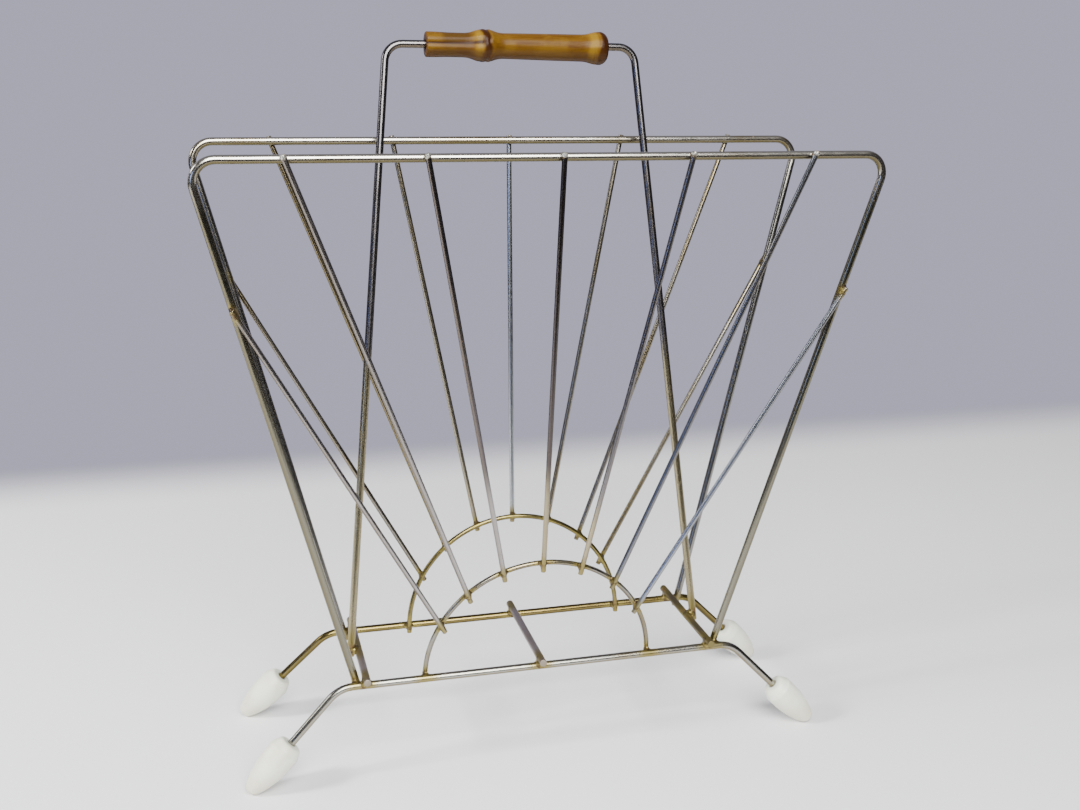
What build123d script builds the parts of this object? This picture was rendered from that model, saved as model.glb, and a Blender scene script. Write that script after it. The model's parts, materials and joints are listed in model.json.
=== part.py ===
from build123d import *
import math
import os

# Wire magazine rack with a bamboo grip, in millimetres.
# X runs along the rack, Y runs from the front panel to the back panel and Z points up.
# The origin is on the floor, midway between the four feet.
#
# The rack is bent from two sizes of plated wire. Where two wires cross they lie side by side, a capillary
# gap apart, and a bead of brass filler joins them, so every wire is a piece of its own.

os.makedirs("parts", exist_ok=True)

# ---------------------------------------------------------------- driving dimensions
THICK = 4.76                 # diameter of the frame wire, 3/16 inch
THIN = 3.18                  # diameter of the spoke and arch wire, 1/8 inch
BRAZE_GAP = 0.10             # gap between two wires that are brazed together
END_ROUNDING = 0.35          # deburred edge of every sawn wire end

RAIL_HEIGHT = 59.0           # centre of the two base rails above the floor
RAIL_SPREAD = 38.0           # centre of a base rail from the middle of the rack
RAIL_CORNER = 128.5          # where the straight rail and its leg would meet
RAIL_BEND = 20.0
LEG_REACH_X = 53.0           # from the rail corner to the middle of the foot's tip
LEG_REACH_Y = 9.0

FOOT_LENGTH = 38.0
FOOT_MOUTH_RADIUS = 5.4
FOOT_MAX_RADIUS = 9.8
FOOT_FULLEST = 12.0          # distance from the mouth to the fullest section
FOOT_SHOULDER = [(0.78, 0.1), (0.94, 0.38)]    # points between, as shares of that radius and distance
FOOT_TIP_RADIUS = 5.6
FOOT_WEAR = 0.25             # depth of the small flat that each tip stands on
FOOT_BORE_DEPTH = 17.0

FRAME_BOTTOM = 117.5         # half width of a side frame at the base rails
FRAME_TOP = 200.0            # half width at the top rail, to the unrounded corner
FRAME_TOP_HEIGHT = 379.0     # centre of the top rails above the floor
FRAME_TOP_SPREAD = 60.7      # centre of a top rail from the middle of the rack
FRAME_BEND = 12.0
FRAME_TAIL = 3.6             # each frame leg runs this far below the rail's centre

ARCH_RADIUS = 73.0
ARCH_DROP = 1.2              # centre of the half circle below the base rail's centre
ARCH_X_FRONT = -2.0          # the arches are brazed on slightly left of the middle
ARCH_X_BACK = -0.8
ARCH_TAIL = 3.6
SPOKE_PITCH = 75.0           # along the top rail
SPOKE_STEP = 20.0            # degrees between two spokes on the arch
SIDE_SPOKE_LEVEL = 0.745     # the outermost spokes meet the frame's legs at this share of its height
SPOKE_TOP_TAIL = 3.0
SPOKE_ARCH_TAIL = 4.6

CROSS_WIRE_LENGTH = 90.4
CROSS_WIRE_X = {"left": -112.0, "middle": -1.5, "right": 112.0}

HANDLE_TOP_HEIGHT = 437.0    # centre of the rod inside the grip
HANDLE_TOP = 79.2            # half width at the top, to the unrounded corner
HANDLE_LEAN = 57.0           # the top stands this far behind the foot of the handle
HANDLE_BEND = 11.0
HANDLE_TAIL = 3.6

GRIP_LEFT = -55.1            # the grip can settle anywhere between the rod's two bends
GRIP_LENGTH = 115.5
GRIP_CLEARANCE = 0.10        # the grip turns freely on the rod
GRIP_DROOP = 1.1             # the cane is slightly crooked: its right end is this much off the bore
CANE_RADIUS = 7.3            # above the node
CANE_EDGE = 1.0
NODE_AT = 37.0               # distances along the grip are from its left end
NODE_RADIUS = 9.9
NODE_RISE = 14.0
NODE_FALL = 12.0
ROOT_CANE_RADIUS = 7.75      # just below the node, widening towards the root
ROOT_END_RADIUS = 8.25
FLARE_AT = 111.5
FLARE_RADIUS = 10.1
FLARE_RISE = 12.5
FLARE_MOUTH_RADIUS = 7.8

BEAD_THICK = 3.7             # bead between two thick wires
BEAD_MIXED = 3.1             # bead between a thick and a thin wire
BEAD_THIN = 2.6              # bead between two thin wires

# ---------------------------------------------------------------- derived dimensions
THICK_ON_THICK = THICK + BRAZE_GAP
THIN_ON_THICK = (THICK + THIN) / 2 + BRAZE_GAP

# A side frame lies inside its base rail, in a plane that leans outwards.
FRAME_FOOT_Y = RAIL_SPREAD - THICK_ON_THICK
FRAME_RISE = FRAME_TOP_HEIGHT - RAIL_HEIGHT
FRAME_LEAN = math.atan2(FRAME_TOP_SPREAD - FRAME_FOOT_Y, FRAME_RISE)
FRAME_LENGTH = FRAME_RISE / math.cos(FRAME_LEAN)
FRAME_SLOPE = (FRAME_TOP - FRAME_BOTTOM) / FRAME_LENGTH

# Distances outwards from that plane. The spokes lie flat on its outer side, and the arch is tucked
# behind the base rail, so that the spokes touch both the top rail and the arch.
SPOKE_OUT = THIN_ON_THICK
ARCH_OUT = THICK_ON_THICK - THIN_ON_THICK

CROSS_WIRE_Z = RAIL_HEIGHT + THICK_ON_THICK
FRONT, BACK = -1, 1
SIDES = {"front": FRONT, "back": BACK}
ARCH_X = {FRONT: ARCH_X_FRONT, BACK: ARCH_X_BACK}


def panel_point(side, along, up, out=0.0):
    """A point of a panel: along its width, up its slope and outwards from the side frame's plane."""
    sin_lean, cos_lean = math.sin(FRAME_LEAN), math.cos(FRAME_LEAN)
    return Vector(
        along,
        side * (FRAME_FOOT_Y + up * sin_lean + out * cos_lean),
        RAIL_HEIGHT + up * cos_lean - out * sin_lean,
    )


def swept_wire(path, diameter):
    """A round wire along a path, with both sawn ends slightly rounded."""
    profile = Plane(origin=path @ 0, z_dir=path % 0) * Circle(diameter / 2)
    body = sweep(profile, path=path)
    rims = body.edges().filter_by(GeomType.CIRCLE)
    ends = [min(rims, key=lambda rim: (rim.arc_center - end).length) for end in (path @ 0, path @ 1)]
    return fillet(ends, END_ROUNDING)


def bent_wire(points, bend, diameter):
    return swept_wire(FilletPolyline(*points, radius=bend), diameter)


def straight_wire(start, end, diameter):
    return swept_wire(Line(start, end), diameter)


def beyond(start, end, distance):
    """The point this far past end on the line from start."""
    return end + (end - start).normalized() * distance


def bead(first, second, radius, wires):
    """Brass filler around the spot between two wire centres, cut to the wires it joins.

    The sphere's poles point at the two wires and its seam is turned clear of both.
    """
    towards = Plane(origin=(first + second) / 2, z_dir=second - first)
    blob = towards.location * Rot(0, 0, 45) * Sphere(radius)
    for wire in wires:
        blob -= wire
    return blob


# ---------------------------------------------------------------- base rails and feet
def rail_corner(side, end):
    return Vector(end * RAIL_CORNER, side * RAIL_SPREAD, RAIL_HEIGHT)


def leg_axis(side, end):
    """Unit vector down the leg, and the distance from the rail corner to the middle of the foot's tip."""
    tip_height = FOOT_TIP_RADIUS - FOOT_WEAR
    run = Vector(end * LEG_REACH_X, side * LEG_REACH_Y, tip_height - RAIL_HEIGHT)
    return run.normalized(), run.length


def foot_mouth(side, end):
    axis, reach = leg_axis(side, end)
    return rail_corner(side, end) + axis * (reach + FOOT_TIP_RADIUS - FOOT_LENGTH)


def base_rail(side):
    """One wire: the left leg, the straight rail and the right leg."""
    leg_ends = {end: foot_mouth(side, end) + leg_axis(side, end)[0] * FOOT_BORE_DEPTH for end in (-1, 1)}
    points = [leg_ends[-1], rail_corner(side, -1), rail_corner(side, 1), leg_ends[1]]
    return bent_wire(points, RAIL_BEND, THICK)


def foot_outline():
    """Half of a foot's section, from its mouth at zero to its round tip."""
    tip_centre = FOOT_LENGTH - FOOT_TIP_RADIUS
    taper = tip_centre - FOOT_FULLEST
    drop = FOOT_MAX_RADIUS - FOOT_TIP_RADIUS
    flank_radius = FOOT_TIP_RADIUS + (taper**2 + drop**2) / (2 * drop)
    flank_angle = math.asin(taper / (flank_radius - FOOT_TIP_RADIUS))

    def on_flank(angle):
        radius = FOOT_MAX_RADIUS - flank_radius * (1 - math.cos(angle))
        return radius, FOOT_FULLEST + flank_radius * math.sin(angle)

    def on_tip(angle):
        return FOOT_TIP_RADIUS * math.cos(angle), tip_centre + FOOT_TIP_RADIUS * math.sin(angle)

    bore = THICK / 2
    mouth, fullest, tip = (FOOT_MOUTH_RADIUS, 0), (FOOT_MAX_RADIUS, FOOT_FULLEST), (0, FOOT_LENGTH)
    between = [(FOOT_MAX_RADIUS * wide, FOOT_FULLEST * down) for wide, down in FOOT_SHOULDER]
    with BuildSketch(Plane.XZ) as half:
        with BuildLine():
            Polyline(tip, (0, FOOT_BORE_DEPTH), (bore, FOOT_BORE_DEPTH), (bore, 0), mouth)
            Spline(mouth, *between, fullest, tangents=[(1, 0), (0, 1)])
            ThreePointArc(fullest, on_flank(flank_angle / 2), on_flank(flank_angle))
            ThreePointArc(on_flank(flank_angle), on_tip((flank_angle + math.pi / 2) / 2), tip)
        make_face()
    return half.sketch


def foot(side, end):
    """A plastic tip pushed onto the leg, with a small flat worn where it stands."""
    axis, _ = leg_axis(side, end)
    shell = Plane(origin=foot_mouth(side, end), z_dir=axis).location * revolve(foot_outline(), axis=Axis.Z)
    tip_x, tip_y = end * (RAIL_CORNER + LEG_REACH_X), side * (RAIL_SPREAD + LEG_REACH_Y)
    return shell - Pos(tip_x, tip_y, -FOOT_LENGTH / 2) * Box(FOOT_LENGTH, FOOT_LENGTH, FOOT_LENGTH)


# ---------------------------------------------------------------- panels
def side_frame(side):
    foot_along = FRAME_BOTTOM - FRAME_TAIL * FRAME_SLOPE
    points = [
        panel_point(side, -foot_along, -FRAME_TAIL),
        panel_point(side, -FRAME_TOP, FRAME_LENGTH),
        panel_point(side, FRAME_TOP, FRAME_LENGTH),
        panel_point(side, foot_along, -FRAME_TAIL),
    ]
    return bent_wire(points, FRAME_BEND, THICK)


def arch_point(side, degrees):
    """A point on the arch's half circle as (along, up) in the panel, from 0 at its right end to 180."""
    angle = math.radians(degrees)
    return ARCH_X[side] + ARCH_RADIUS * math.cos(angle), ARCH_RADIUS * math.sin(angle) - ARCH_DROP


def arch_foot(side, end, up):
    """A point on the arch's straight tail, up from the base rail's centre."""
    return panel_point(side, ARCH_X[side] + end * ARCH_RADIUS, up, ARCH_OUT)


def arch(side):
    """A half circle standing on the base rail, with a short straight tail at each end."""
    left, crown, right = (panel_point(side, *arch_point(side, degrees), ARCH_OUT) for degrees in (180, 90, 0))
    left_tail = Line(arch_foot(side, -1, -ARCH_TAIL), left)
    right_tail = Line(right, arch_foot(side, 1, -ARCH_TAIL))
    pieces = [left_tail, ThreePointArc(left, crown, right), right_tail]
    return swept_wire(Wire([piece.edge() for piece in pieces]), THIN)


def spoke_joints(side, number):
    """Where spoke 1 to 7 crosses the frame and the arch, as (along, up) in the panel."""
    place = number - 4
    on_arch = arch_point(side, 90 - place * SPOKE_STEP)
    if abs(place) == 3:
        up = SIDE_SPOKE_LEVEL * FRAME_LENGTH
        return (math.copysign(FRAME_BOTTOM + up * FRAME_SLOPE, place), up), on_arch
    return (place * SPOKE_PITCH, FRAME_LENGTH), on_arch


def spoke(side, number):
    on_frame, on_arch = spoke_joints(side, number)
    top = panel_point(side, *on_frame, SPOKE_OUT)
    bottom = panel_point(side, *on_arch, SPOKE_OUT)
    return straight_wire(beyond(bottom, top, SPOKE_TOP_TAIL), beyond(top, bottom, SPOKE_ARCH_TAIL), THIN)


# ---------------------------------------------------------------- cross wires and handle
def cross_wire(name):
    x = CROSS_WIRE_X[name]
    half = CROSS_WIRE_LENGTH / 2
    return straight_wire(Vector(x, -half, CROSS_WIRE_Z), Vector(x, half, CROSS_WIRE_Z), THICK)


def handle_joint(end):
    """Centre of the handle rod where it passes the outer side of a cross wire."""
    x = CROSS_WIRE_X["right" if end > 0 else "left"] + end * THICK_ON_THICK
    return Vector(x, 0, CROSS_WIRE_Z)


def handle_rod():
    tops = {end: Vector(end * HANDLE_TOP, HANDLE_LEAN, HANDLE_TOP_HEIGHT) for end in (-1, 1)}
    feet = {end: beyond(tops[end], handle_joint(end), HANDLE_TAIL) for end in (-1, 1)}
    return bent_wire([feet[-1], tops[-1], tops[1], feet[1]], HANDLE_BEND, THICK)


def ogee(start, end):
    """Two arcs that leave the start level, reach the end level and run into each other halfway."""
    middle = ((start[0] + end[0]) / 2, (start[1] + end[1]) / 2)
    TangentArc(start, middle, tangent=(1, 0))
    TangentArc(end, middle, tangent=(-1, 0))


def cane_outline():
    """Half of the cane's section along its length, solid to the axis."""
    node_starts = (NODE_AT - NODE_RISE, CANE_RADIUS)
    node = (NODE_AT, NODE_RADIUS)
    node_ends = (NODE_AT + NODE_FALL, ROOT_CANE_RADIUS)
    flare_starts = (FLARE_AT - FLARE_RISE, ROOT_END_RADIUS)
    flare = (FLARE_AT, FLARE_RADIUS)
    mouth = (GRIP_LENGTH, FLARE_MOUTH_RADIUS)
    edge = (0, CANE_RADIUS - CANE_EDGE)
    with BuildSketch() as half:
        with BuildLine():
            Polyline(mouth, (GRIP_LENGTH, 0), (0, 0), edge)
            RadiusArc(edge, (CANE_EDGE, CANE_RADIUS), CANE_EDGE)
            Line((CANE_EDGE, CANE_RADIUS), node_starts)
            ogee(node_starts, node)
            ogee(node, node_ends)
            Line(node_ends, flare_starts)
            ogee(flare_starts, flare)
            TangentArc(flare, mouth, tangent=(1, 0))
        make_face()
    return half.sketch


def bamboo_grip():
    """A length of bamboo cane with one full node a third of the way along and a flared root end."""
    droop = math.degrees(math.atan2(GRIP_DROOP, GRIP_LENGTH))
    cane = Rot(0, droop, 0) * revolve(cane_outline(), axis=Axis.X)
    bore = Pos(GRIP_LENGTH / 2, 0, 0) * Rot(0, 90, 0) * Cylinder(THICK / 2 + GRIP_CLEARANCE, 2 * GRIP_LENGTH)
    return Pos(GRIP_LEFT, HANDLE_LEAN, HANDLE_TOP_HEIGHT) * (cane - bore)


# ---------------------------------------------------------------- build and braze
nodes = {"handle_rod": handle_rod(), "bamboo_grip": bamboo_grip()}
for name in CROSS_WIRE_X:
    nodes[f"cross_wire_{name}"] = cross_wire(name)
for face, side in SIDES.items():
    nodes[f"base_rail_{face}"] = base_rail(side)
    nodes[f"side_frame_{face}"] = side_frame(side)
    nodes[f"arch_{face}"] = arch(side)
    for number in range(1, 8):
        nodes[f"spoke_{face}_{number}"] = spoke(side, number)
    for hand, end in {"left": -1, "right": 1}.items():
        nodes[f"foot_{face}_{hand}"] = foot(side, end)


def spoke_beads(face, numbers, on_arch):
    """Beads at the frame end or at the arch end of some spokes of one panel."""
    side = SIDES[face]
    support = nodes[f"arch_{face}" if on_arch else f"side_frame_{face}"]
    support_out = ARCH_OUT if on_arch else 0.0
    radius = BEAD_THIN if on_arch else BEAD_MIXED
    beads = []
    for number in numbers:
        joint = spoke_joints(side, number)[1 if on_arch else 0]
        here = panel_point(side, *joint, SPOKE_OUT)
        there = panel_point(side, *joint, support_out)
        beads.append(bead(here, there, radius, (nodes[f"spoke_{face}_{number}"], support)))
    return Compound(beads)


def base_beads(face):
    """Beads on one base rail: two frame legs, two arch feet and three cross wires."""
    side = SIDES[face]
    rail = nodes[f"base_rail_{face}"]
    beads = []
    for end in (-1, 1):
        on_rail = Vector(end * FRAME_BOTTOM, side * RAIL_SPREAD, RAIL_HEIGHT)
        leg = panel_point(side, end * FRAME_BOTTOM, 0)
        beads.append(bead(on_rail, leg, BEAD_THICK, (rail, nodes[f"side_frame_{face}"])))
        foot_of_arch = arch_foot(side, end, 0)
        on_rail = Vector(foot_of_arch.X, side * (RAIL_SPREAD - (THICK - THIN) / 2), RAIL_HEIGHT)
        beads.append(bead(on_rail, foot_of_arch, BEAD_MIXED, (rail, nodes[f"arch_{face}"])))
    for name, x in CROSS_WIRE_X.items():
        below = Vector(x, side * RAIL_SPREAD, RAIL_HEIGHT)
        above = Vector(x, side * RAIL_SPREAD, CROSS_WIRE_Z)
        beads.append(bead(below, above, BEAD_THICK, (rail, nodes[f"cross_wire_{name}"])))
    return Compound(beads)


for face in SIDES:
    nodes[f"braze_top_rail_{face}"] = spoke_beads(face, range(2, 7), on_arch=False)
    nodes[f"braze_legs_{face}"] = spoke_beads(face, (1, 7), on_arch=False)
    nodes[f"braze_arch_{face}"] = spoke_beads(face, range(1, 8), on_arch=True)
    nodes[f"braze_base_{face}"] = base_beads(face)

handle_beads = []
for hand, end in {"left": -1, "right": 1}.items():
    centre = Vector(CROSS_WIRE_X[hand], 0, CROSS_WIRE_Z)
    wires = (nodes["handle_rod"], nodes[f"cross_wire_{hand}"])
    handle_beads.append(bead(centre, handle_joint(end), BEAD_THICK, wires))
nodes["braze_handle"] = Compound(handle_beads)

for name, shape in nodes.items():
    export_step(shape, f"parts/{name}.step")
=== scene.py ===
import json
import math

import bmesh
import bpy
import numpy as np
from mathutils import Matrix, Vector, noise
from mathutils.bvhtree import BVHTree


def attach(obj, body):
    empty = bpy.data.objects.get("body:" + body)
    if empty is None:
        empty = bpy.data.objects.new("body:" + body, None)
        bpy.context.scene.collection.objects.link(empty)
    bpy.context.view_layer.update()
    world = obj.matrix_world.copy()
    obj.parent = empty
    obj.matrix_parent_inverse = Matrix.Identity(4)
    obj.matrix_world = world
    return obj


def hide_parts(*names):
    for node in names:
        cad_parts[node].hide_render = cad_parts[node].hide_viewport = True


# Looks of the wire magazine rack. Everything is in metres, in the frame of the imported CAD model.

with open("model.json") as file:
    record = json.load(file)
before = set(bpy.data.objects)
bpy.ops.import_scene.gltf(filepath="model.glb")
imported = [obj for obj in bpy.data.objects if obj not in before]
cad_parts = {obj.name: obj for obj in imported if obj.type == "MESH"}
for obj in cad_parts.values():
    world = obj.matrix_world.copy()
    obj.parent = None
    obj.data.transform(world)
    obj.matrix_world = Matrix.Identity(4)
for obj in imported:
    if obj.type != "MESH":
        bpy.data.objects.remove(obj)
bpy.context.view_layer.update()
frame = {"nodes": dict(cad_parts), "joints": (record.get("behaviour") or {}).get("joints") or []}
nodes = frame["nodes"]

THICK_RADIUS = 0.00238       # frame wire
THIN_RADIUS = 0.00159        # spoke and arch wire
MM = 0.001


# ---------------------------------------------------------------- camera
EYE = (-0.191998, -0.726981, 0.438242)
YAW, PITCH, ROLL = 0.265701, -0.281987, 0.016002     # radians, from a level view along +Y
SENSOR_WIDTH, LENS = 36.0, 41.55                     # millimetres


def add_camera():
    """The camera, in front of the rack, a little to its left and looking down."""
    forward = Vector((math.sin(YAW) * math.cos(PITCH), math.cos(YAW) * math.cos(PITCH), math.sin(PITCH)))
    level = Vector((math.cos(YAW), -math.sin(YAW), 0))
    upright = level.cross(forward)
    right = math.cos(ROLL) * level + math.sin(ROLL) * upright
    up = math.cos(ROLL) * upright - math.sin(ROLL) * level
    camera = bpy.data.objects.new("camera", bpy.data.cameras.new("camera"))
    camera.matrix_world = Matrix.Translation(EYE) @ Matrix((right, up, -forward)).transposed().to_4x4()
    camera.data.sensor_width = SENSOR_WIDTH
    camera.data.lens = LENS
    camera.data.clip_start = 0.01
    bpy.context.scene.collection.objects.link(camera)
    bpy.context.scene.camera = camera


add_camera()


# ---------------------------------------------------------------- shader helper
class Finish:
    """A material, with short calls for the nodes that its colour, roughness and bump are made of."""

    def __init__(self, name):
        self.material = bpy.data.materials.new(name)
        self.material.use_nodes = True
        self.tree = self.material.node_tree
        self.bsdf = self.tree.nodes["Principled BSDF"]
        place = self.tree.nodes.new("ShaderNodeTexCoord")
        self.position, self.normal = place.outputs["Object"], place.outputs["Normal"]

    def feed(self, socket, value):
        if isinstance(value, bpy.types.NodeSocket):
            self.tree.links.new(value, socket)
        elif value is not None:
            socket.default_value = value

    def set(self, **values):
        """Principled inputs by name, such as Base_Color=..."""
        for name, value in values.items():
            self.feed(self.bsdf.inputs[name.replace("_", " ")], value)

    def math(self, operation, first, second=None, third=None):
        node = self.tree.nodes.new("ShaderNodeMath")
        node.operation = operation
        for socket, value in zip(node.inputs, (first, second, third)):
            self.feed(socket, value)
        return node.outputs[0]

    def vector(self, operation, first, second=None, scale=None):
        node = self.tree.nodes.new("ShaderNodeVectorMath")
        node.operation = operation
        self.feed(node.inputs[0], first)
        self.feed(node.inputs[1], second)
        self.feed(node.inputs[3], scale)
        return node.outputs[1 if operation == "LENGTH" else 0]

    def noise(self, where, scale, detail=4.0, roughness=0.55, distortion=0.0):
        node = self.tree.nodes.new("ShaderNodeTexNoise")
        self.feed(node.inputs["Vector"], where)
        settings = {"Scale": scale, "Detail": detail, "Roughness": roughness, "Distortion": distortion}
        for name, value in settings.items():
            node.inputs[name].default_value = value
        return node.outputs["Fac"]

    def fade(self, value, low, high, low_to=0.0, high_to=1.0):
        """A smooth step of value from low to high."""
        node = self.tree.nodes.new("ShaderNodeMapRange")
        node.interpolation_type = "SMOOTHSTEP"
        for socket, v in zip(node.inputs, (value, low, high, low_to, high_to)):
            self.feed(socket, v)
        return node.outputs["Result"]

    def mix(self, factor, first, second, blend="MIX"):
        node = self.tree.nodes.new("ShaderNodeMix")
        node.data_type = "RGBA"
        node.blend_type = blend
        self.feed(node.inputs["Factor"], factor)
        self.feed(node.inputs[6], first)
        self.feed(node.inputs[7], second)
        return node.outputs[2]

    def attribute(self, name):
        node = self.tree.nodes.new("ShaderNodeAttribute")
        node.attribute_name = name
        return node.outputs["Fac"]

    def axis(self, name, source=None):
        node = self.tree.nodes.new("ShaderNodeSeparateXYZ")
        self.feed(node.inputs[0], source or self.position)
        return node.outputs[name]

    def bump(self, height, distance, strength=1.0, onto=None):
        node = self.tree.nodes.new("ShaderNodeBump")
        node.inputs["Strength"].default_value = strength
        node.inputs["Distance"].default_value = distance
        self.feed(node.inputs["Height"], height)
        self.feed(node.inputs["Normal"], onto)
        return node.outputs[0]


def rgb(red, green, blue):
    return (red, green, blue, 1.0)


# ---------------------------------------------------------------- materials
RUST = rgb(0.105, 0.045, 0.018)
BROWN_RUST = rgb(0.095, 0.065, 0.036)
STAIN = rgb(0.16, 0.12, 0.08)
DULL_STREAK = rgb(0.22, 0.17, 0.11)
HEATED = rgb(0.24, 0.195, 0.058)
VERDIGRIS = rgb(0.13, 0.12, 0.045)


def wire_finish(name, silver, gold, gilding, under, seed, gloss=0.21, low=None, low_to=0.375):
    """Old bright plating, warm where worn thin, with painted shade on its underside, brassy or rusty at the
    joints.

    Below the height low_to the colour is low, if there is one; the finishes use this split to paint shade on a
    wire's legs or on its upper part.
    """
    f = Finish(name)
    here = f.vector("ADD", f.position, (seed, 0.0, 0.0))
    around = f.vector("SCALE", f.normal, scale=5.0)
    lines = f.noise(f.vector("ADD", around, f.vector("SCALE", here, scale=5.0)), 1.2, 1)
    patches = f.noise(here, 22.0, 3)
    mottle = f.noise(here, 150.0, 2, 0.5)
    fine = f.noise(here, 600.0, 1, 0.5)
    tinge = f.attribute("tinge")
    worn = f.fade(f.math("ADD", patches, f.math("MULTIPLY", lines, 0.35)), 0.9 - gilding, 1.15 - gilding)
    colour = f.mix(worn, silver, gold)
    if low:
        # painted shade: the wire's colour changes at the height low_to
        colour = f.mix(f.fade(f.axis("Z"), low_to - 0.03, low_to), low, colour)
    # faces that look down take the colour under: painted shade on the wire's underside
    colour = f.mix(f.fade(f.axis("Z", f.normal), 0.10, -0.45, 0.0, 0.94), colour, under)
    colour = f.mix(f.fade(mottle, 0.50, 0.80, 0.0, 0.12), colour, STAIN)
    colour = f.mix(f.fade(lines, 0.52, 0.70, 0.0, 0.14), colour, DULL_STREAK)
    straw = f.fade(f.math("ADD", tinge, f.math("MULTIPLY", patches, 0.30)), 0.28, 0.95, 0.0, 0.85)
    colour = f.mix(straw, colour, HEATED)
    rusting = f.math("ADD", f.math("MULTIPLY", tinge, 0.50), f.math("MULTIPLY", mottle, 0.80))
    rust = f.fade(rusting, 0.84, 0.98, 0.0, 0.8)
    pits = f.fade(f.math("ADD", fine, f.math("MULTIPLY", patches, 0.25)), 0.90, 0.935, 0.0, 0.6)
    rust = f.math("MAXIMUM", rust, pits)
    colour = f.mix(rust, colour, RUST)
    dullness = f.math("ADD", f.fade(mottle, 0.40, 0.80, gloss, gloss + 0.04), f.math("MULTIPLY", tinge, 0.10))
    roughness = f.math("ADD", dullness, f.math("MULTIPLY", rust, 0.35))
    metal = f.math("SUBTRACT", 1.0, f.math("MULTIPLY", rust, 0.7))
    relief = f.math("ADD", f.math("MULTIPLY", mottle, 0.1), patches)
    f.set(Base_Color=colour, Roughness=roughness, Metallic=metal, Normal=f.bump(relief, 0.00004, 0.3))
    return f.material


def braze_finish(name, light, dark):
    """Rough brass filler, dulled, with green and rust in its hollows."""
    f = Finish(name)
    lumps = f.noise(f.position, 420.0, 5, 0.65)
    grain = f.noise(f.position, 1900.0, 4, 0.6)
    rim = f.attribute("rim")
    colour = f.mix(f.fade(lumps, 0.35, 0.68), light, dark)
    colour = f.mix(f.fade(grain, 0.52, 0.72, 0.0, 0.3), colour, VERDIGRIS)
    edge = f.fade(f.math("ADD", rim, f.math("MULTIPLY", lumps, 0.6)), 0.90, 1.20)
    colour = f.mix(edge, colour, BROWN_RUST)
    relief = f.math("ADD", lumps, f.math("MULTIPLY", grain, 0.12))
    f.set(Base_Color=colour, Metallic=f.fade(grain, 0.55, 0.75, 0.95, 0.6),
          Roughness=f.fade(lumps, 0.3, 0.75, 0.30, 0.52), Normal=f.bump(relief, 0.00016, 0.5))
    return f.material


# ---------------------------------------------------------------- pieces copied from the CAD wires
WIRE_NODES = [n for n in nodes if not n.startswith(("braze", "foot", "bamboo"))]
THIN_NODES = ("spoke", "arch_")
JOINT_REACH = 2.2 * MM       # a wire nearer than this to a bead's middle belongs to its joint
TIP_SHIFT = 1.1 * MM         # filler at the top rails is centred this far below the spoke's tip


def wire_radius(node):
    return THIN_RADIUS if node.startswith(THIN_NODES) else THICK_RADIUS


def merged(node):
    """The node's mesh with the seams between its faces joined."""
    bm = bmesh.new()
    bm.from_mesh(nodes[node].data)
    bmesh.ops.remove_doubles(bm, verts=bm.verts, dist=2e-6)
    return bm


wire_meshes = {node: merged(node) for node in WIRE_NODES}
wire_trees = {node: BVHTree.FromBMesh(bm) for node, bm in wire_meshes.items()}


def islands(bm):
    """The separate solids of a node, each as its vertices' positions."""
    seen, groups = set(), []
    for start in bm.verts:
        if start in seen:
            continue
        group, queue = [], [start]
        seen.add(start)
        while queue:
            vert = queue.pop()
            group.append(vert.co.copy())
            for edge in vert.link_edges:
                other = edge.other_vert(vert)
                if other not in seen:
                    seen.add(other)
                    queue.append(other)
        groups.append(np.array(group))
    return groups


def local_axis(node, centre):
    """A point on the wire's centre line nearest to centre, and the wire's direction there."""
    radius = wire_radius(node)
    steps = ((1, 0, 0), (-1, 0, 0), (0, 1, 0), (0, -1, 0), (0, 0, 1), (0, 0, -1))
    found = []
    for step in steps:
        place, normal, _, _ = wire_trees[node].find_nearest(centre + Vector(step) * 2.5 * MM)
        found.append(np.array(place - normal * radius))
    found = np.array(found)
    middle = found.mean(0)
    direction = np.linalg.svd(found - middle)[2][0]
    return middle, direction


def local_span(node, middle, direction):
    """Where the wire ends each way from middle along its direction, or infinity where it runs on."""
    ends = []
    for way in (-1, 1):
        steps = np.arange(0.5, 8.0, 0.25) * MM
        depths = [wire_trees[node].find_nearest(middle + direction * way * step)[3] for step in steps]
        nearest = int(np.argmin(depths))
        ends.append(way * (steps[nearest] if depths[nearest] < 0.3 * wire_radius(node) else np.inf))
    return ends


class Joint:
    """One brazed joint: its centre, and the centre lines of the wires that meet there."""

    def __init__(self, node, verts):
        self.node = node
        self.kind = node.removesuffix("_front").removesuffix("_back")
        self.size = float(np.ptp(verts, axis=0).max()) / 2
        rough = Vector((verts.min(0) + verts.max(0)) / 2)
        near = sorted((wire_trees[n].find_nearest(rough)[3], n) for n in WIRE_NODES)
        self.wires = [n for distance, n in near if distance < JOINT_REACH]
        self.lines = [(*local_axis(n, rough), wire_radius(n)) for n in self.wires]
        self.spans = [local_span(n, *line[:2]) for n, line in zip(self.wires, self.lines)]
        first, second = self.lines[:2]
        share = first[2] / (first[2] + second[2])
        toward = second[0] - first[0]
        for _ in range(3):
            middle = first[0] + toward * share
            ends = [line[0] + line[1] * np.dot(middle - line[0], line[1]) for line in (first, second)]
            toward = ends[1] - ends[0]
            first = (ends[0], first[1], first[2])
        self.centre = ends[0] + toward * share
        if self.kind == "braze_top_rail":
            tip, spoke = next((max(span, key=lambda end: np.isfinite(end)), line)
                              for span, line in zip(self.spans, self.lines) if np.isfinite(span).any())
            self.centre = spoke[0] + spoke[1] * (tip - math.copysign(TIP_SHIFT, tip))


joints = []
for node in nodes:
    if node.startswith("braze"):
        joints += [Joint(node, verts) for verts in islands(merged(node))]


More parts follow.
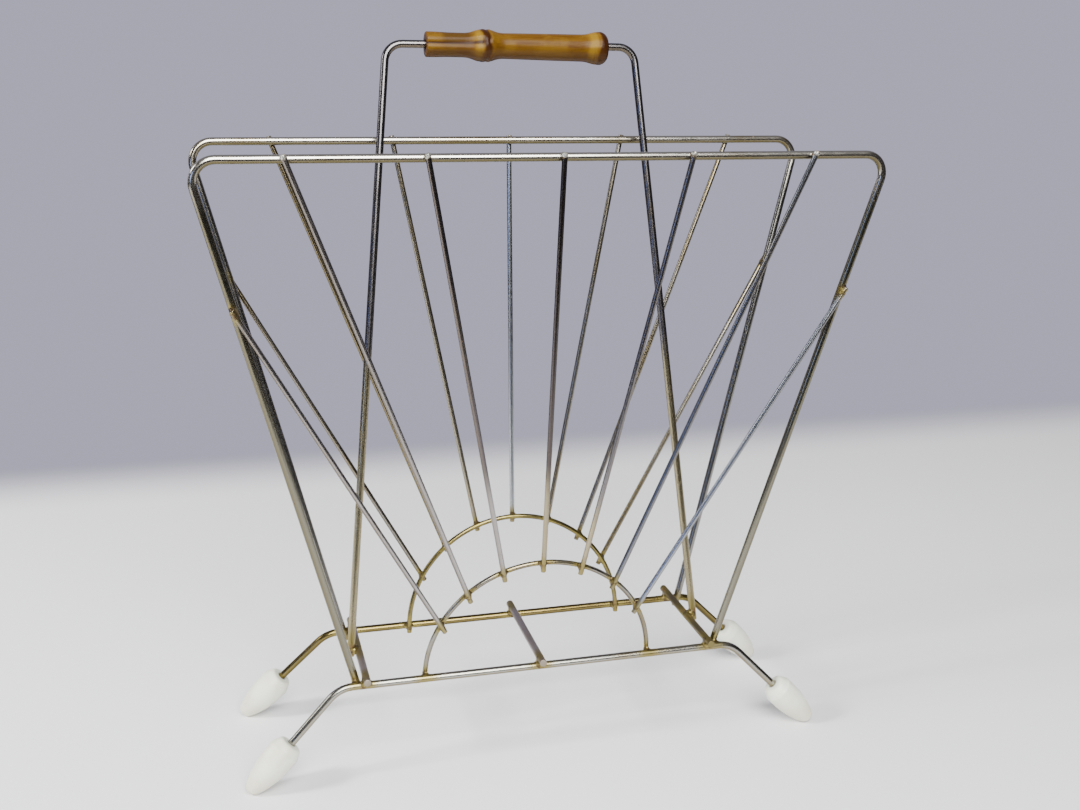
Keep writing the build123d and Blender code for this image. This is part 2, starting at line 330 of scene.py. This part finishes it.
def linked_piece(name, bm, material):
    """A mesh object made from bm."""
    mesh = bpy.data.meshes.new(name)
    bm.to_mesh(mesh)
    mesh.shade_smooth()
    mesh.set_sharp_from_angle(angle=math.radians(40))
    mesh.materials.append(material)
    piece = bpy.data.objects.new(name, mesh)
    bpy.context.scene.collection.objects.link(piece)
    return piece


TINGE = {     # how strongly each kind of joint has coloured its wires, and how far along them in metres
    "braze_top_rail": (0.30, 0.005),
    "braze_legs": (0.85, 0.007),
    "braze_handle": (1.0, 0.016),
    "braze_arch": (0.95, 0.0075),
    "braze_base": (1.0, 0.009),
}
SKIN = {      # thickness of the filler in millimetres, and its reach as a share of the CAD bead's size
    "braze_top_rail": (0.30, 0.85),
    "braze_legs": (0.45, 1.30),
    "braze_handle": (0.40, 1.20),
    "braze_arch": (0.50, 1.35),
    "braze_base": (0.42, 1.25),
}
SLICES = (-22, -16, -12, -9, -6.5, -4.5, -2.5, 0, 2.5, 4.5, 6.5, 9, 12, 16, 22)     # millimetres from a joint

joint_centres = np.array([joint.centre for joint in joints])
joint_tinges, joint_reaches = np.array([TINGE[joint.kind] for joint in joints]).T


def weathered_wire(node, material):
    """The CAD wire, sliced near its joints so that the heat marks can fade out along it."""
    bm = wire_meshes[node]
    for joint in joints:
        if node not in joint.wires:
            continue
        place, direction, _ = joint.lines[joint.wires.index(node)]
        for slice_at in SLICES:
            bmesh.ops.bisect_plane(bm, geom=bm.verts[:] + bm.edges[:] + bm.faces[:], dist=1e-6,
                                   plane_co=place + direction * slice_at * MM, plane_no=direction)
    tinge = bm.verts.layers.float.new("tinge")
    for vert in bm.verts:
        away = np.linalg.norm(joint_centres - np.array(vert.co), axis=1)
        vert[tinge] = float((joint_tinges * np.exp(-(away / joint_reaches) ** 2)).max())
    piece = linked_piece(node + "_wire", bm, material)
    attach(piece, "rack")
    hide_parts(node)
    return piece


SILVER = rgb(0.60, 0.57, 0.51)
GREY = rgb(0.32, 0.315, 0.28)
MAUVE = rgb(0.13, 0.115, 0.122)
STEEL = rgb(0.37, 0.35, 0.34)
STRAW = rgb(0.37, 0.315, 0.20)
BRASSY = rgb(0.20, 0.165, 0.065)
OLIVE = rgb(0.075, 0.058, 0.014)
TAN = rgb(0.20, 0.165, 0.10)
BROWN = rgb(0.11, 0.088, 0.062)
SATIN, DULL = 0.24, 0.42     # roughness of the plainer wires
finishes = {      # the first key that a wire's name starts with is its finish
    # The side frames' legs, below the top rails, take the darker low colour: painted shade.
    "side_frame_front": wire_finish("plating_front_frame_painted_leg_shade", SILVER, rgb(0.44, 0.38, 0.27), 0.20, OLIVE, 0.3,
                                    low=rgb(0.20, 0.19, 0.145)),
    "side_frame_back": wire_finish("plating_back_frame_painted_leg_shade", SILVER, rgb(0.42, 0.36, 0.24), 0.30, OLIVE, 1.7,
                                   low=rgb(0.24, 0.235, 0.22)),
    "base_rail_front": wire_finish("plating_front_rail", GREY, rgb(0.31, 0.26, 0.16), 0.25, TAN, 2.9),
    "base_rail_back": wire_finish("plating_back_rail", BRASSY, rgb(0.19, 0.145, 0.05), 0.50, OLIVE, 4.1),
    "arch_front": wire_finish("plating_front_arch", rgb(0.27, 0.26, 0.225), rgb(0.24, 0.20, 0.12), 0.3,
                              BROWN, 5.3),
    "arch_back": wire_finish("plating_back_arch", rgb(0.22, 0.18, 0.09), BRASSY, 0.60, OLIVE, 5.9),
    # Front spokes three, four and five: the dark colour above low_to is painted shade; below it they keep a
    # lighter plating.
    "spoke_front_3": wire_finish("plating_spoke_three_painted_shade", rgb(0.11, 0.097, 0.103), rgb(0.14, 0.12, 0.10), 0.2,
                                 BROWN, 6.1, SATIN, low=STEEL, low_to=0.20),
    "spoke_front_4": wire_finish("plating_spoke_four_painted_shade", rgb(0.065, 0.057, 0.061), rgb(0.055, 0.047, 0.050), 0.2,
                                 BROWN, 6.4, SATIN, low=STRAW, low_to=0.20),
    "spoke_front_5": wire_finish("plating_spoke_five_painted_shade", rgb(0.19, 0.18, 0.185), MAUVE, 0.2,
                                 BROWN, 6.6, SATIN, low=STRAW, low_to=0.18),
    # Front spokes six and seven: their blue tint is a painted reflection of a blue window; spoke six is also
    # darkened as painted shade.
    "spoke_front_6": wire_finish("plating_spoke_six_painted_reflection", rgb(0.17, 0.18, 0.205), rgb(0.21, 0.20, 0.19), 0.2,
                                 BROWN, 6.2, SATIN),
    "spoke_front_7": wire_finish("plating_spoke_seven_painted_reflection", rgb(0.33, 0.355, 0.40), GREY, 0.1, BROWN, 6.3, SATIN),
    "spoke_front": wire_finish("plating_front_spokes", STEEL, rgb(0.33, 0.28, 0.23), 0.20, BROWN, 6.8, SATIN),
    # Back spoke two: its dark olive is partly tarnish and partly painted shade.
    "spoke_back_2": wire_finish("plating_spoke_brown_painted_shade", rgb(0.13, 0.115, 0.08), TAN, 0.5, OLIVE, 7.1, SATIN),
    "spoke_back_3": wire_finish("plating_spoke_pale", rgb(0.26, 0.235, 0.18), STRAW, 0.25, TAN, 7.3, SATIN),
    # Back spoke four: its blue tint is a painted reflection of a blue window.
    "spoke_back_4": wire_finish("plating_spoke_painted_blue_reflection", rgb(0.40, 0.42, 0.44), GREY, 0.15, TAN, 7.5, SATIN),
    "spoke_back": wire_finish("plating_back_spokes", rgb(0.25, 0.235, 0.205), rgb(0.24, 0.20, 0.12), 0.3,
                              BROWN, 7.7, SATIN),
    "cross_wire_right": wire_finish("brown_cross_wire", TAN, rgb(0.17, 0.14, 0.075), 0.5, OLIVE, 8.4, DULL),
    "cross_wire": wire_finish("dull_cross_wire", rgb(0.38, 0.335, 0.33), rgb(0.33, 0.28, 0.25), 0.3,
                              BROWN, 8.9, DULL),
    # The handle's dark upper part is painted shade; below low_to it is lighter and yellower.
    "handle_rod": wire_finish("plating_handle_painted_shade", rgb(0.13, 0.123, 0.13), rgb(0.115, 0.10, 0.085), 0.20,
                              BROWN, 9.5, SATIN, low=rgb(0.31, 0.27, 0.165), low_to=0.26),
}

for node in WIRE_NODES:
    key = next(k for k in finishes if node.startswith(k))
    weathered_wire(node, finishes[key])


# ---------------------------------------------------------------- brazed joints
def smooth_least(values, width):
    """Smooth minimum of several distances, which rounds the corner between them."""
    least = values[0]
    for value in values[1:]:
        blend = np.clip(0.5 + 0.5 * (value - least) / width, 0, 1)
        least = value * (1 - blend) + least * blend - width * blend * (1 - blend)
    return least


def braze_skin(joint, seed, subdivisions=5):
    """Filler that hugs the joint's wires and fills the corners between them, as a bmesh with a rim layer."""
    bm = bmesh.new()
    bmesh.ops.create_icosphere(bm, subdivisions=subdivisions, radius=1.0)
    rays = np.array([vert.co[:] for vert in bm.verts])
    rays /= np.linalg.norm(rays, axis=1)[:, None]
    wander = np.array([noise.noise(Vector(ray) * 1.7 + Vector((seed * 3.1, 0, 0))) for ray in rays])
    lumps = np.array([noise.noise(Vector(ray) * 4.5 + Vector((0, seed * 2.3, 0))) for ray in rays])
    thickness, extent = SKIN[joint.kind]
    reach = joint.size * extent * (1 + 0.3 * np.minimum(wander, 0.5))
    steps = np.linspace(0.02, 1.0, 60)
    travelled = np.ones(len(rays))
    inside = np.ones(len(rays), bool)
    for step in steps:
        points = joint.centre + rays * (reach * step)[:, None]
        gaps = []
        for (place, direction, radius), (low, high) in zip(joint.lines, joint.spans):
            away = points - place
            along = away @ direction
            beside = np.linalg.norm(away - along[:, None] * direction, axis=1) - radius
            gaps.append(np.maximum(beside, np.maximum(low - along, along - high)))
        skin = thickness * MM * (1 + 0.5 * lumps) * (1 - 1.5 * step ** 2)
        out = smooth_least(gaps, 2.6 * MM) > skin
        newly = inside & out
        travelled[newly] = step
        inside &= ~out
    for _ in range(2):
        fresh = travelled.copy()
        for vert in bm.verts:
            around = [edge.other_vert(vert).index for edge in vert.link_edges]
            fresh[vert.index] = 0.5 * travelled[vert.index] + 0.5 * travelled[around].mean()
        travelled = fresh
    rim = bm.verts.layers.float.new("rim")
    for vert, ray, share, far in zip(bm.verts, rays, travelled, reach):
        vert.co = Vector(joint.centre + ray * share * far)
        vert[rim] = share
    return bm


brass = braze_finish("brass_filler", rgb(0.31, 0.25, 0.075), rgb(0.16, 0.12, 0.038))
plated_brass = braze_finish("plated_filler", rgb(0.78, 0.78, 0.73), rgb(0.55, 0.53, 0.44))
for node in nodes:
    if not node.startswith("braze"):
        continue
    whole = bpy.data.meshes.new(node + "_skin")
    gathered = bmesh.new()
    for number, joint in enumerate(joints):
        if joint.node == node:
            skin = braze_skin(joint, number)
            skin.to_mesh(whole)
            gathered.from_mesh(whole)
            skin.free()
    finish = plated_brass if "top_rail" in node else brass
    piece = linked_piece(node + "_skin", gathered, finish)
    piece.data.shade_smooth()
    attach(piece, "rack")
    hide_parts(node)


# ---------------------------------------------------------------- bamboo grip
rod = Vector(frame["joints"][0]["pos_m"])
GRIP_LENGTH = 0.1155
GRIP_START = rod - Vector((GRIP_LENGTH / 2, 0, 0))
DROOP = Matrix.Rotation(math.atan2(1.1 * MM, GRIP_LENGTH), 3, "Y")     # the crooked cane sags at its root end
BORE_RADIUS = THICK_RADIUS + 0.1 * MM
NODE_AT = 0.037              # the node's crest, from the left end
ROOT_AT = 0.1115             # the fullest part of the root end
EDGE = 1.0 * MM              # rounding of the cane's left end
GROOVE_AT_END = math.radians(9)      # the bud's groove, above the horizontal on the front
GROOVE_AT_NODE = math.radians(15)


def eased(x, start, end):
    t = np.clip((x - start) / (end - start), 0, 1)
    return t * t * (3 - 2 * t)


def ogee(x, start, end):
    """Two arcs from nought at start to one at end."""
    t = np.clip((x - start) / (end - start), 0, 1)
    return np.where(t < 0.5, 2 * t * t, 1 - 2 * (1 - t) ** 2)


def cane_radius(x):
    """Radius of the cane along its length, in metres."""
    r = 7.3 * MM + 0.3 * MM * (1 - eased(x, 0.004, 0.016))
    r += 2.6 * MM * ogee(x, NODE_AT - 0.014, NODE_AT) ** 1.1
    r -= 2.15 * MM * ogee(x, NODE_AT, NODE_AT + 0.012)
    r += 0.5 * MM * np.clip((x - 0.049) / 0.050, 0, 1)
    r += 1.85 * MM * ogee(x, ROOT_AT - 0.0125, ROOT_AT)
    mouth = np.clip((x - ROOT_AT) / (GRIP_LENGTH - ROOT_AT), 0, 1)
    r -= 2.3 * MM * mouth ** 2.2
    edge = np.clip((EDGE - x) / EDGE, 0, 1)
    r -= EDGE * (1 - np.sqrt(np.clip(1 - edge ** 2, 0, 1)))
    return r


def bump_at(offset, width):
    return math.exp(-(offset / width) ** 2)


def groove_angle(x):
    share = min(max(x / NODE_AT, 0), 1)
    return GROOVE_AT_END + (GROOVE_AT_NODE - GROOVE_AT_END) * share ** 2


def scar_at(angle):
    """Where the leaf scar runs around the node: two lobes that meet at the bud."""
    off = math.remainder(angle - GROOVE_AT_NODE, 2 * math.pi)
    lobes = math.cos(angle) ** 2
    return NODE_AT + MM * (0.7 + 2.4 * lobes - 1.3 * bump_at(off, math.radians(14)))


def cane_ring(x, count):
    """Radius, burn marks with painted shade in the groove, and gilding around the cane at one station."""
    base = float(cane_radius(np.array(x)))
    ring = []
    for k in range(count):
        angle = 2 * math.pi * k / count          # zero faces the front, a quarter turn faces up
        off = math.remainder(angle - groove_angle(x), 2 * math.pi)
        r = base
        r += 0.10 * MM * noise.noise(Vector((x * 30, math.cos(angle) * 0.9, math.sin(angle) * 0.9)))
        r += 0.05 * MM * noise.noise(Vector((x * 60, angle * 3, 4.0)))
        before_node = 1 - float(eased(np.array(x), NODE_AT - 0.003, NODE_AT + 0.001))
        width = math.radians(11 + 8 * x / NODE_AT)
        groove = before_node * bump_at(off, width)
        r -= 0.75 * MM * groove
        r += 0.25 * MM * before_node * bump_at(abs(off) - math.radians(32), math.radians(13))
        to_scar = x - scar_at(angle)
        r -= 0.34 * MM * bump_at(to_scar, 0.0010)
        r += 0.12 * MM * bump_at(to_scar - 0.0020, 0.0009)
        r -= 0.12 * MM * bump_at(x - NODE_AT + 0.0030, 0.0007)
        for root in (0.1065, 0.1095, 0.1130):
            r -= 0.08 * MM * bump_at(x - root, 0.0004) * (1 + 0.6 * math.sin(angle * 3 + root * 9000))
        end = 0.1095 + 0.0010 * math.sin(angle) + 0.0006 * math.sin(3 * angle)
        root_end = float(eased(np.array(x), end - 0.0012, end + 0.0014))
        # the groove term is painted shade along the groove; the node, the root end and the left end are real
        # burn marks
        scorch_and_painted_shade = max(0.95 * bump_at(to_scar + 0.0017, 0.0029), 0.85 * groove * bump_at(off, width * 0.6),
                     0.85 * root_end, 0.5 * bump_at(x, 0.0010))
        shaded_to = 1 - float(eased(np.array(x), 0.025, 0.031))
        shade = before_node * float(eased(np.array(x), 0.006, 0.013)) * shaded_to
        gilt = bump_at(x - end + 0.0042, 0.0028) + 0.8 * bump_at(x - NODE_AT + 0.0045, 0.0030)
        ring.append((angle, r, scorch_and_painted_shade, 0.65 * shade * (0.6 + 0.4 * math.sin(angle)), min(gilt, 1.0)))
    return ring


def bamboo_grip():
    around_count = 160
    stations = np.concatenate([
        np.linspace(0, 1.2 * MM, 10, endpoint=False), np.linspace(1.2 * MM, 0.030, 60, endpoint=False),
        np.linspace(0.030, 0.046, 110, endpoint=False), np.linspace(0.046, 0.098, 80, endpoint=False),
        np.linspace(0.098, GRIP_LENGTH, 90)])
    bm = bmesh.new()
    layers = [bm.verts.layers.float.new(name) for name in ("scorch_and_painted_shade", "shade", "gilt")]
    rings = []
    for x in stations:
        ring = []
        for angle, r, *marks in cane_ring(x, around_count):
            vert = bm.verts.new(GRIP_START + DROOP @ Vector((x, -r * math.cos(angle), r * math.sin(angle))))
            for layer, mark in zip(layers, marks):
                vert[layer] = mark
            ring.append(vert)
        rings.append(ring)
    loops = [(rings[0], 0, 1), (rings[-1], GRIP_LENGTH, -1)]
    for outer, end, inward in loops:
        previous = outer
        for depth, radius in ((0, 3.4 * MM), (0.0006, 3.1 * MM), (0.004, BORE_RADIUS)):
            ring = []
            for k in range(around_count):
                angle = 2 * math.pi * k / around_count
                place = Vector((end + inward * depth, -radius * math.cos(angle), radius * math.sin(angle)))
                vert = bm.verts.new(GRIP_START + place)
                if not depth:
                    vert.co.z += (DROOP @ Vector((end, 0, 0))).z
                # the mouths and the bore are marked fully dark: painted shade in the cane's hollow
                vert[layers[0]] = 1.0
                ring.append(vert)
            for k in range(around_count):
                j = (k + 1) % around_count
                bm.faces.new((previous[k], previous[j], ring[j], ring[k]))
            previous = ring
    for a, b in zip(rings, rings[1:]):
        for k in range(around_count):
            j = (k + 1) % around_count
            bm.faces.new((a[k], a[j], b[j], b[k]))
    bmesh.ops.recalc_face_normals(bm, faces=bm.faces)
    piece = linked_piece("bamboo_cane", bm, bamboo_finish())
    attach(piece, "grip")
    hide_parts("bamboo_grip")
    return piece


def bamboo_finish():
    """Varnished bamboo: long fibres, honey skin, burnt dark at the node and at the root end; painted shade
    darkens the groove, the underside and the mouths.
    """
    f = Finish("varnished_bamboo")
    local = f.vector("SUBTRACT", f.position, tuple(GRIP_START))
    radius = f.vector("LENGTH", f.vector("MULTIPLY", local, (0.0, 1.0, 1.0)))
    fibres = f.noise(f.vector("MULTIPLY", local, (0.055, 1.0, 1.0)), 2400.0, 4, 0.6)
    streaks = f.noise(f.vector("MULTIPLY", local, (0.10, 1.0, 1.0)), 420.0, 4, 0.6)
    clouds = f.noise(local, 80.0, 3, 0.5)
    colour = f.mix(f.fade(streaks, 0.32, 0.7), rgb(0.110, 0.053, 0.0055), rgb(0.070, 0.028, 0.0036))
    colour = f.mix(f.fade(clouds, 0.42, 0.66, 0.0, 0.7), colour, rgb(0.150, 0.080, 0.0080))
    colour = f.mix(f.fade(fibres, 0.5, 0.78, 0.0, 0.45), colour, rgb(0.055, 0.020, 0.0030))
    marbled = f.math("MULTIPLY", f.math("SUBTRACT", clouds, 0.5), 0.7)
    gilt = f.fade(f.math("ADD", f.attribute("gilt"), marbled), 0.15, 0.9, 0.0, 0.85)
    colour = f.mix(gilt, colour, rgb(0.185, 0.105, 0.0085))
    shade = f.fade(f.math("ADD", f.attribute("shade"), marbled), 0.05, 0.75, 0.0, 0.8)
    colour = f.mix(shade, colour, rgb(0.042, 0.019, 0.0050))
    # burn marks, with painted shade in the groove and the mouths
    burn_and_painted_shade = f.math("ADD", f.attribute("scorch_and_painted_shade"), f.math("MULTIPLY", marbled, 0.6))
    scorch_and_painted_shade = f.fade(burn_and_painted_shade, 0.15, 0.85, 0.0, 0.96)
    colour = f.mix(scorch_and_painted_shade, colour, rgb(0.026, 0.0075, 0.0022))
    # faces that look down are darker: painted shade on the cane's underside
    colour = f.mix(f.fade(f.axis("Z", f.normal), 0.3, -0.9, 0.0, 0.8), colour, rgb(0.050, 0.020, 0.0026))
    # near the bore the ends turn almost black: painted shade in the mouths
    ends = f.fade(radius, 0.0030, 0.0052, 1.0, 0.0)
    colour = f.mix(ends, colour, rgb(0.020, 0.010, 0.005))
    relief = f.math("ADD", f.math("MULTIPLY", fibres, 0.6), streaks)
    f.set(Base_Color=colour, Roughness=f.fade(streaks, 0.3, 0.8, 0.26, 0.42),
          Normal=f.bump(relief, 0.00014, 0.5), Coat_Weight=0.04, Coat_Roughness=0.25, Specular_IOR_Level=0.09)
    return f.material


bamboo_grip()


# ---------------------------------------------------------------- plastic feet
def foot_finish():
    """Aged cream plastic, slightly translucent, with grime where the leg goes in, and darker and yellower
    towards the bottom.
    """
    f = Finish("cream_plastic")
    clouds = f.noise(f.position, 55.0, 4, 0.6)
    scuffs = f.noise(f.vector("MULTIPLY", f.position, (1.0, 1.0, 2.4)), 420.0, 5, 0.7)
    grain = f.noise(f.position, 2600.0, 3, 0.5)
    mouth = f.attribute("mouth")
    colour = f.mix(f.fade(clouds, 0.35, 0.7), rgb(0.74, 0.765, 0.67), rgb(0.68, 0.68, 0.56))
    low = f.fade(f.math("ADD", f.axis("Z"), f.math("MULTIPLY", scuffs, 0.004)), 0.001, 0.024, 0.60, 0.0)
    colour = f.mix(low, colour, rgb(0.60, 0.55, 0.38))
    colour = f.mix(f.fade(scuffs, 0.62, 0.74, 0.0, 0.3), colour, rgb(0.50, 0.48, 0.37))
    grime = f.fade(f.math("ADD", mouth, f.math("MULTIPLY", scuffs, 0.25)), 0.62, 1.0, 0.0, 0.85)
    colour = f.mix(grime, colour, rgb(0.16, 0.15, 0.09))
    relief = f.math("ADD", f.math("MULTIPLY", grain, 0.3), scuffs)
    f.set(Base_Color=colour, Roughness=f.fade(scuffs, 0.4, 0.75, 0.34, 0.5),
          Normal=f.bump(relief, 0.00006, 0.4), Specular_IOR_Level=0.45,
          Subsurface_Weight=0.30, Subsurface_Radius=(0.008, 0.006, 0.004), Subsurface_Scale=0.6)
    return f.material


def foot_piece(node, material):
    """The CAD foot with a finer mesh, and a layer that is one where the leg goes in and fades from there."""
    bm = merged(node)
    tree = wire_trees["base_rail_front" if "front" in node else "base_rail_back"]
    bmesh.ops.subdivide_edges(bm, edges=[e for e in bm.edges if e.calc_length() > 1.2 * MM], cuts=1)
    mouth = bm.verts.layers.float.new("mouth")
    for vert in bm.verts:
        distance = tree.find_nearest(vert.co)[3]
        vert[mouth] = math.exp(-distance / (1.6 * MM)) * float(eased(np.array(vert.co.z), 0.018, 0.027))
    piece = linked_piece(node + "_tip", bm, material)
    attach(piece, "rack")
    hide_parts(node)


plastic = foot_finish()
for node in nodes:
    if node.startswith("foot"):
        foot_piece(node, plastic)


# ---------------------------------------------------------------- floor, world and lights
BACKDROP = rgb(0.475, 0.465, 0.590)


def pale_floor():
    """A plain pale cloth that fades into the backdrop's colour away from the rack."""
    bm = bmesh.new()
    bmesh.ops.create_circle(bm, cap_ends=True, segments=128, radius=2.4)
    mesh = bpy.data.meshes.new("floor")
    bm.to_mesh(mesh)
    floor = bpy.data.objects.new("floor", mesh)
    floor.location.z = -0.0002
    bpy.context.scene.collection.objects.link(floor)
    f = Finish("pale_floor")
    wide = f.fade(f.math("ABSOLUTE", f.axis("X")), 0.9, 1.6, 1.0, 0.0)
    deep = f.fade(f.math("ABSOLUTE", f.axis("Y")), 0.47, 0.62, 1.0, 0.0)
    soft = f.noise(f.position, 5.0, 2, 0.5)
    cloth = f.mix(soft, rgb(0.80, 0.805, 0.84), rgb(0.83, 0.835, 0.865))
    f.set(Base_Color=cloth, Roughness=0.9, Alpha=f.math("MULTIPLY", wide, deep))
    floor.data.materials.append(f.material)


def studio_world():
    """A plain backdrop to look at. The metal and the shadows see a dim room with a lilac wall at the back."""
    world = bpy.data.worlds.new("studio")
    bpy.context.scene.world = world
    world.use_nodes = True
    tree = world.node_tree
    tree.nodes.clear()
    link = tree.links.new

    def made(kind, *sources, **settings):
        node = tree.nodes.new(kind)
        for name, value in settings.items():
            setattr(node, name, value)
        for socket, source in zip(node.inputs, sources):
            if isinstance(source, bpy.types.NodeSocket):
                link(source, socket)
            elif source is not None:
                socket.default_value = source
        return node

    def faded(value, low, high):
        node = made("ShaderNodeMapRange", value, low, high, 0.0, 1.0, interpolation_type="SMOOTHSTEP")
        return node.outputs[0]

    def times(first, second):
        return made("ShaderNodeMath", first, second, operation="MULTIPLY").outputs[0]

    def blended(factor, first, second):
        node = made("ShaderNodeMix", factor, data_type="RGBA")
        for socket, source in zip((node.inputs[6], node.inputs[7]), (first, second)):
            if isinstance(source, bpy.types.NodeSocket):
                link(source, socket)
            else:
                socket.default_value = source
        return node.outputs[2]

    way = made("ShaderNodeSeparateXYZ", made("ShaderNodeTexCoord").outputs["Generated"])
    colour = blended(faded(way.outputs["Z"], 0.55, 0.95), rgb(0.045, 0.042, 0.045), rgb(0.26, 0.26, 0.28))
    above_table = times(faded(way.outputs["Z"], -0.20, -0.02), faded(way.outputs["Z"], 0.80, 0.55))
    wall = times(faded(way.outputs["Y"], 0.15, 0.50), above_table)
    colour = blended(wall, colour, rgb(0.40, 0.39, 0.48))
    room = made("ShaderNodeBackground", colour)
    seen = made("ShaderNodeBackground", BACKDROP)
    eye = made("ShaderNodeLightPath").outputs["Is Camera Ray"]
    both = made("ShaderNodeMixShader", eye, room.outputs[0], seen.outputs[0])
    made("ShaderNodeOutputWorld", both.outputs[0])


def softbox(name, place, target, width, height, power, colour):
    light = bpy.data.lights.new(name, "AREA")
    light.shape = "RECTANGLE"
    light.size, light.size_y = width, height
    light.energy = power
    light.color = colour
    lamp = bpy.data.objects.new(name, light)
    lamp.location = place
    lamp.rotation_euler = (Vector(target) - Vector(place)).to_track_quat("-Z", "Y").to_euler()
    bpy.context.scene.collection.objects.link(lamp)
    return lamp


pale_floor()
studio_world()
RACK = Vector((0, 0, 0.2))
lights = [
    # name, direction from the rack, distance, width, height, power, colour, whether the metal mirrors it
    ("window_wall", (-0.05, -0.765, 0.643), 2.0, 1.40, 1.50, 108.0, (1.0, 0.99, 0.96), True),
    ("side_wall", (-0.87, 0.10, 0.47), 1.8, 0.60, 0.50, 7.5, (1.0, 1.0, 0.98), True),
    ("blue_window", (-0.79, -0.60, 0.07), 2.0, 0.70, 0.50, 2.7, (0.55, 0.72, 1.35), True),
    ("left_fill", (-0.88, -0.12, 0.52), 1.8, 0.32, 0.32, 44.0, (1.0, 0.99, 0.96), False),
]
for name, way, distance, width, height, power, colour, mirrored in lights:
    lamp = softbox(name, RACK + Vector(way).normalized() * distance, RACK, width, height, power, colour)
    lamp.visible_glossy = mirrored
